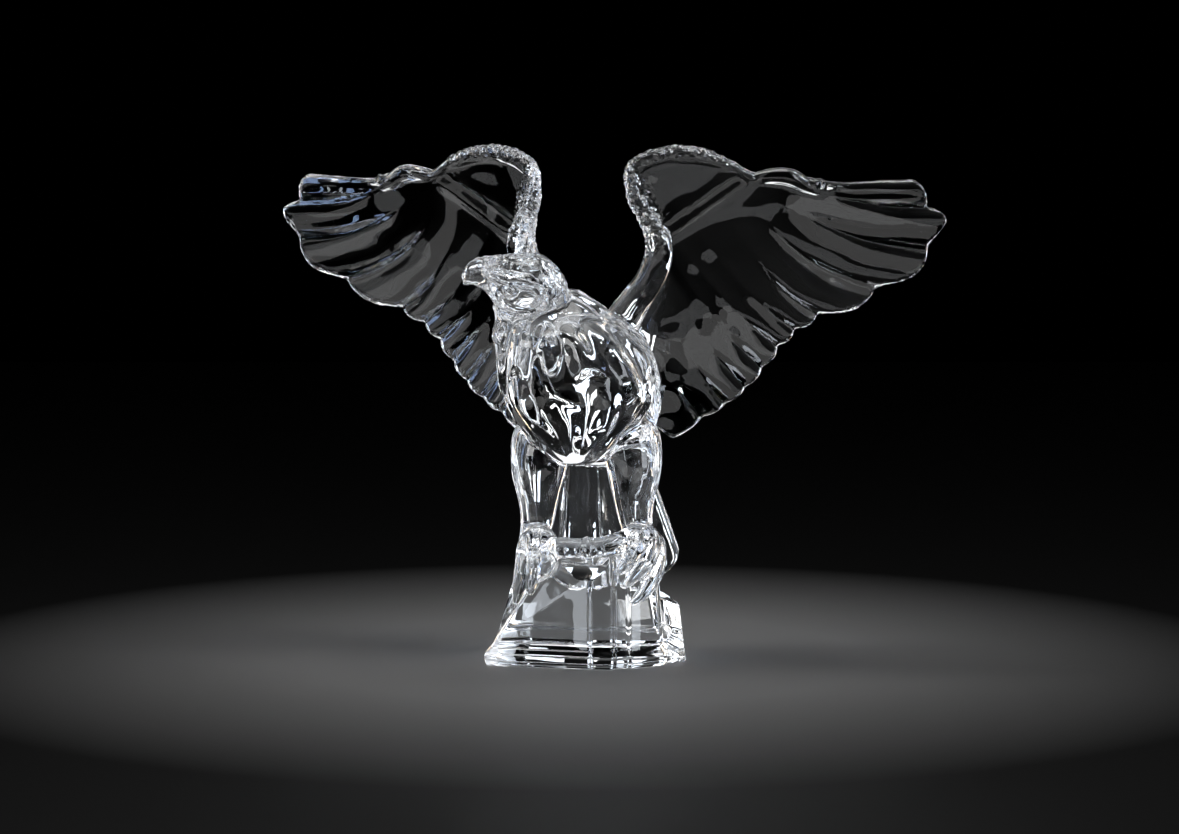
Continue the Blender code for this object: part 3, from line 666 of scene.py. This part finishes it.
def crystal():
    """Clear glass with a slow ripple all over, and frosted dots where the relief is pebbled."""
    material = bpy.data.materials.new("clear_crystal")
    material.use_nodes = True
    nodes, links = material.node_tree.nodes, material.node_tree.links
    shader = nodes["Principled BSDF"]
    shader.inputs["Base Color"].default_value = GLASS_COLOUR
    shader.inputs["IOR"].default_value = GLASS_IOR
    shader.inputs["Transmission Weight"].default_value = 1.0
    shader.inputs["Roughness"].default_value = 0.0
    place = nodes.new("ShaderNodeTexCoord")
    ripple = nodes.new("ShaderNodeTexNoise")
    ripple.inputs["Scale"].default_value = RIPPLE_SCALE
    ripple.inputs["Detail"].default_value = 1.0
    hammer = nodes.new("ShaderNodeTexVoronoi")
    hammer.feature = "SMOOTH_F1"
    hammer.inputs["Scale"].default_value = HAMMER_SCALE
    frost = nodes.new("ShaderNodeMath")
    frost.operation = "MULTIPLY"
    frost.use_clamp = True
    frost.inputs[1].default_value = FROST
    where = nodes.new("ShaderNodeAttribute")
    where.attribute_name = "pebbled"
    only = nodes.new("ShaderNodeMath")
    only.operation = "MULTIPLY"
    total = nodes.new("ShaderNodeMath")
    total.operation = "MULTIPLY_ADD"
    total.inputs[1].default_value = RIPPLE_SHARE
    bump = nodes.new("ShaderNodeBump")
    bump.inputs["Strength"].default_value = 0.5
    bump.inputs["Distance"].default_value = BUMP_HEIGHT
    links.new(place.outputs["Object"], ripple.inputs["Vector"])
    links.new(place.outputs["Object"], hammer.inputs["Vector"])
    links.new(hammer.outputs["Distance"], only.inputs[0])
    links.new(where.outputs["Fac"], only.inputs[1])
    links.new(only.outputs["Value"], frost.inputs[0])
    links.new(frost.outputs["Value"], shader.inputs["Roughness"])
    links.new(ripple.outputs["Fac"], total.inputs[0])
    links.new(only.outputs["Value"], total.inputs[2])
    links.new(total.outputs["Value"], bump.inputs["Height"])
    links.new(bump.outputs["Normal"], shader.inputs["Normal"])
    return material


# Light colours
WHITE = (1.0, 1.0, 1.0)
COOL = (0.86, 0.92, 1.0)
BLUE = (0.45, 0.62, 1.0)
AMBER = (1.0, 0.78, 0.55)
# The soft boxes round the glass: name, place, aim, width and height, brightness and colour.
# The boxes at the sides make the bright edges. The ones near the table veil the wings in grey.
# The cards stand behind the body, where the camera sees them only through the glass.
AIM = (0, 0, 0.13)
LOW_AIM = (0, 0, 0.12)
FOOT_AIM = (0, 0, 0.05)
CAMERA_AIM = (0, -1.8, 0.29)
BOXES = [
    ("left_box", (-0.85, 0.15, 0.25), AIM, (0.07, 0.9), 5.5, COOL),
    ("left_box_front", (-0.86, 0.0, 0.25), AIM, (0.06, 0.9), 5.5, COOL),
    ("left_box_back", (-0.80, 0.32, 0.25), AIM, (0.06, 0.9), 5.5, COOL),
    ("right_box", (0.85, 0.10, 0.25), AIM, (0.07, 0.9), 5.5, WHITE),
    ("right_box_front", (0.86, -0.05, 0.25), AIM, (0.06, 0.9), 5.5, WHITE),
    ("right_box_back", (0.81, 0.27, 0.25), AIM, (0.06, 0.9), 5.5, WHITE),
    ("left_edge", (-0.84, -0.14, 0.25), AIM, (0.05, 0.9), 7, BLUE),
    ("left_tail", (-0.72, 0.44, 0.25), AIM, (0.05, 0.9), 7, AMBER),
    ("right_edge", (0.84, -0.18, 0.25), AIM, (0.05, 0.9), 7, BLUE),
    ("right_tail", (0.74, 0.38, 0.25), AIM, (0.05, 0.9), 7, AMBER),
    ("left_front_strip", (-0.65, -0.98, 0.50), AIM, (0.12, 0.8), 5, COOL),
    ("left_front_box", (-0.80, -0.80, 0.72), AIM, (0.5, 0.4), 6, WHITE),
    ("left_front_side", (-0.95, -0.62, 0.40), AIM, (0.08, 0.6), 4, WHITE),
    ("right_front_box", (0.95, -0.90, 0.40), AIM, (0.35, 0.8), 6, COOL),
    ("back_box", (0.0, 0.9, 0.75), AIM, (0.9, 0.25), 1.3, WHITE),
    ("high_box", (0.0, -0.25, 1.1), AIM, (0.9, 0.35), 5, WHITE),
    ("table_box", (0.0, -0.39, 0.03), (0.0, -0.3, 1.0), (0.55, 0.35), 0.9, WHITE),
    ("table_box_left", (-0.38, -0.26, 0.03), (-0.2, 0.0, 1.0), (0.5, 0.24), 0.9, WHITE),
    ("table_box_side", (-0.18, -0.01, 0.03), (-0.18, -0.01, 1.0), (0.10, 0.26), 0.8, WHITE),
    ("card_left", (-0.024, 0.17, 0.132), CAMERA_AIM, (0.012, 0.050), 2.0, COOL),
    ("card_middle", (-0.003, 0.17, 0.128), CAMERA_AIM, (0.010, 0.040), 1.8, WHITE),
    ("card_right", (0.017, 0.17, 0.128), CAMERA_AIM, (0.008, 0.036), 2.2, WHITE),
    ("low_card_left", (-0.040, 0.20, 0.018), LOW_AIM, (0.030, 0.035), 2.2, COOL),
    ("low_card_middle", (0.004, 0.24, 0.012), LOW_AIM, (0.014, 0.030), 2.2, WHITE),
    ("low_card_right", (0.045, 0.20, 0.018), LOW_AIM, (0.018, 0.035), 2.2, COOL),
    ("low_back_left", (-0.55, 0.5, 0.07), FOOT_AIM, (0.5, 0.12), 3, COOL),
    ("low_right", (0.5, 0.25, 0.07), FOOT_AIM, (0.3, 0.12), 4, WHITE),
]


def panel(name, place, aim, size, radiance, colour, only=None):
    """A soft box of light at place, facing aim, of a brightness that doesn't depend on its size."""
    light = bpy.data.lights.new(name, "AREA")
    light.shape = "RECTANGLE"
    light.size, light.size_y = size
    light.energy = radiance * math.pi * size[0] * size[1]
    light.color = colour
    thing = bpy.data.objects.new(name, light)
    thing.location = place
    thing.rotation_euler = (Vector(aim) - Vector(place)).to_track_quat("-Z", "Y").to_euler()
    thing.visible_camera = False
    if only:
        thing.light_linking.receiver_collection = only
    bpy.context.scene.collection.objects.link(thing)
    return thing


def studio(eagle):
    """The light: the boxes reach the glass alone, and one soft box overhead lights the floor too."""
    scene = bpy.context.scene
    scene.view_settings.view_transform = "Standard"
    scene.cycles.max_bounces = 32
    scene.cycles.glossy_bounces = 16
    scene.cycles.transmission_bounces = 32
    world = bpy.data.worlds.new("studio")
    world.use_nodes = True
    world.node_tree.nodes["Background"].inputs["Color"].default_value = (0.0, 0.0, 0.0, 1)
    scene.world = world
    glass = bpy.data.collections.new("lit_by_the_side_boxes")
    glass.objects.link(eagle)
    for name, place, aim, size, radiance, colour in BOXES:
        panel(name, place, aim, size, radiance, colour, glass)
    panel("top_box", (0.0, 0.05, 1.0), AIM, (0.6, 0.4), 1.5, WHITE)
    through = panel("top_box_through_glass", (0.0, 0.05, 1.02), AIM, (0.6, 0.4), 1.1, WHITE)
    through.light_linking.blocker_collection = bpy.data.collections.new("blocks_nothing")


def floor():
    """A floor with a painted pool of light: pale near the figurine, painted darker away from it in place of
    light falling off.
    """
    bm = bmesh.new()
    bmesh.ops.create_grid(bm, x_segments=4, y_segments=4, size=FLOOR_REACH)
    mesh = bpy.data.meshes.new("floor")
    bm.to_mesh(mesh)
    bm.free()
    thing = bpy.data.objects.new("floor", mesh)
    thing.location.z = -FLOOR_GAP
    bpy.context.scene.collection.objects.link(thing)
    material = bpy.data.materials.new("floor_painted_pool_of_light")
    material.use_nodes = True
    nodes, links = material.node_tree.nodes, material.node_tree.links
    shader = nodes["Principled BSDF"]
    shader.inputs["Roughness"].default_value = 0.6
    place = nodes.new("ShaderNodeTexCoord")
    far = nodes.new("ShaderNodeVectorMath")
    far.operation = "LENGTH"
    # Painted pool of light: the floor's colour runs from pale grey to near black with distance from the
    # middle, painted in place of light falling off
    shade = nodes.new("ShaderNodeValToRGB")
    for stop, (position, grey) in zip(shade.color_ramp.elements, (FLOOR_PAINTED_LIGHT, FLOOR_PAINTED_SHADE)):
        stop.position = position
        stop.color = grey
    links.new(place.outputs["Object"], far.inputs[0])
    links.new(far.outputs["Value"], shade.inputs["Fac"])
    links.new(shade.outputs["Color"], shader.inputs["Base Color"])
    thing.data.materials.append(material)


def camera():
    lens = bpy.data.cameras.new("camera")
    lens.sensor_width = 36.0
    lens.lens = CAMERA_LENS
    thing = bpy.data.objects.new("camera", lens)
    thing.location = CAMERA_PLACE
    thing.rotation_euler = (CAMERA_TILT, 0, 0)
    bpy.context.scene.collection.objects.link(thing)
    bpy.context.scene.camera = thing


def main():
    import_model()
    melt = melted(join("melting", bird_parts()))
    carve(melt)
    mesh = reduced(melt, "carved_eagle", rock_parts())
    eagle = bpy.data.objects.new("carved_eagle", mesh)
    bpy.context.scene.collection.objects.link(eagle)
    mesh.materials.clear()
    mesh.materials.append(crystal())
    mark(mesh)
    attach(eagle, "root")
    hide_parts("crystal_eagle")
    studio(eagle)
    floor()
    camera()


main()
